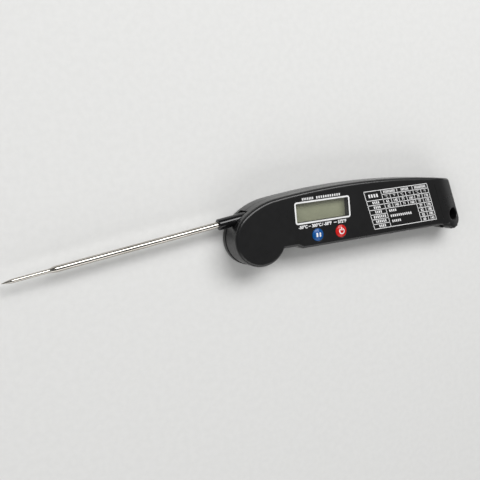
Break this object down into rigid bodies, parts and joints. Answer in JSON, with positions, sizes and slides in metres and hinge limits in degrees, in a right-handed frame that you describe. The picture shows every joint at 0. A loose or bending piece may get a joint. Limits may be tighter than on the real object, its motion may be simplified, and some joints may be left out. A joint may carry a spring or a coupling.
{
  "type": "folding probe thermometer",
  "caption": "Pocket meat thermometer: slim handle with display and two buttons, and a thin steel probe that folds out from a round hinge at the head.",
  "frame": {"origin": "on the hinge axis, in the plane of the flat back", "axes": "+X from the hinge towards the tail of the handle, +Y towards the arched top edge, +Z out of the display face"},
  "size_m": [0.2701, 0.0384, 0.0182],
  "materials": {
    "housing": "satin, fine spark texture",
    "drum": "satin",
    "collar": "gloss",
    "lens": "clear gloss",
    "print": "white ink",
    "lcd": "satin",
    "reflector": "satin",
    "inner_plastic": "satin",
    "strip_rubber": "matt",
    "board": "satin solder mask",
    "blob": "gloss",
    "components": "satin",
    "lead_insulation": "satin",
    "cell": "satin",
    "contacts": "satin",
    "screws": "satin",
    "washer_plastic": "satin",
    "blue_button": "gloss",
    "red_button": "gloss",
    "grey_button": "satin",
    "probe_steel": "polished stainless",
    "bead": "gloss"
  },
  "bodies": {
    "body": {"front_shell": "housing", "rear_shell": "housing", "display_lens": "lens", "display_border": "print", "face_print": "print", "lcd_panel": "lcd", "lcd_reflector": "reflector", "lcd_holder": "inner_plastic", "contact_strips": "strip_rubber", "circuit_board": "board", "controller_blob": "blob", "board_components": "components", "tact_switches": "inner_plastic", "board_leads": "lead_insulation", "battery_cell": "cell", "contact_positive": "contacts", "contact_negative": "contacts", "case_screws": "screws", "hinge_pin": "screws", "friction_washer": "screws", "thrust_washer": "washer_plastic"},
    "probe": {"rotor_front": "drum", "rotor_rear": "drum", "rotor_screws": "screws", "lead_coil": "lead_insulation", "probe_collar": "collar", "probe_tube": "probe_steel", "probe_tip": "probe_steel", "thermistor": "bead", "sensor_leads": "lead_insulation"},
    "door": {"battery_door": "housing", "door_oring": "strip_rubber"},
    "hold": {"hold_button": "blue_button"},
    "power": {"power_button": "red_button"},
    "unit": {"unit_button": "grey_button"}
  },
  "joints": [
    {"name": "probe_fold", "type": "hinge", "parent": "body", "child": "probe", "pos_m": [0, 0, 0.0086], "axis": [0, 0, 1], "range_deg": [-4, 174.1]},
    {"name": "door_twist", "type": "hinge", "parent": "body", "child": "door", "pos_m": [0.091, 0.0064, 0.0015], "axis": [0, 0, -1], "range_deg": [0, 40]},
    {"name": "hold_press", "type": "slide", "parent": "body", "child": "hold", "axis": [0, 0, -1], "range_m": [0, 0.0004], "stiffness_N_per_m": 2000},
    {"name": "power_press", "type": "slide", "parent": "body", "child": "power", "axis": [0, 0, -1], "range_m": [0, 0.0004], "stiffness_N_per_m": 2000},
    {"name": "unit_press", "type": "slide", "parent": "body", "child": "unit", "axis": [0, 0, 1], "range_m": [0, 0.0004], "stiffness_N_per_m": 2000}
  ]
}
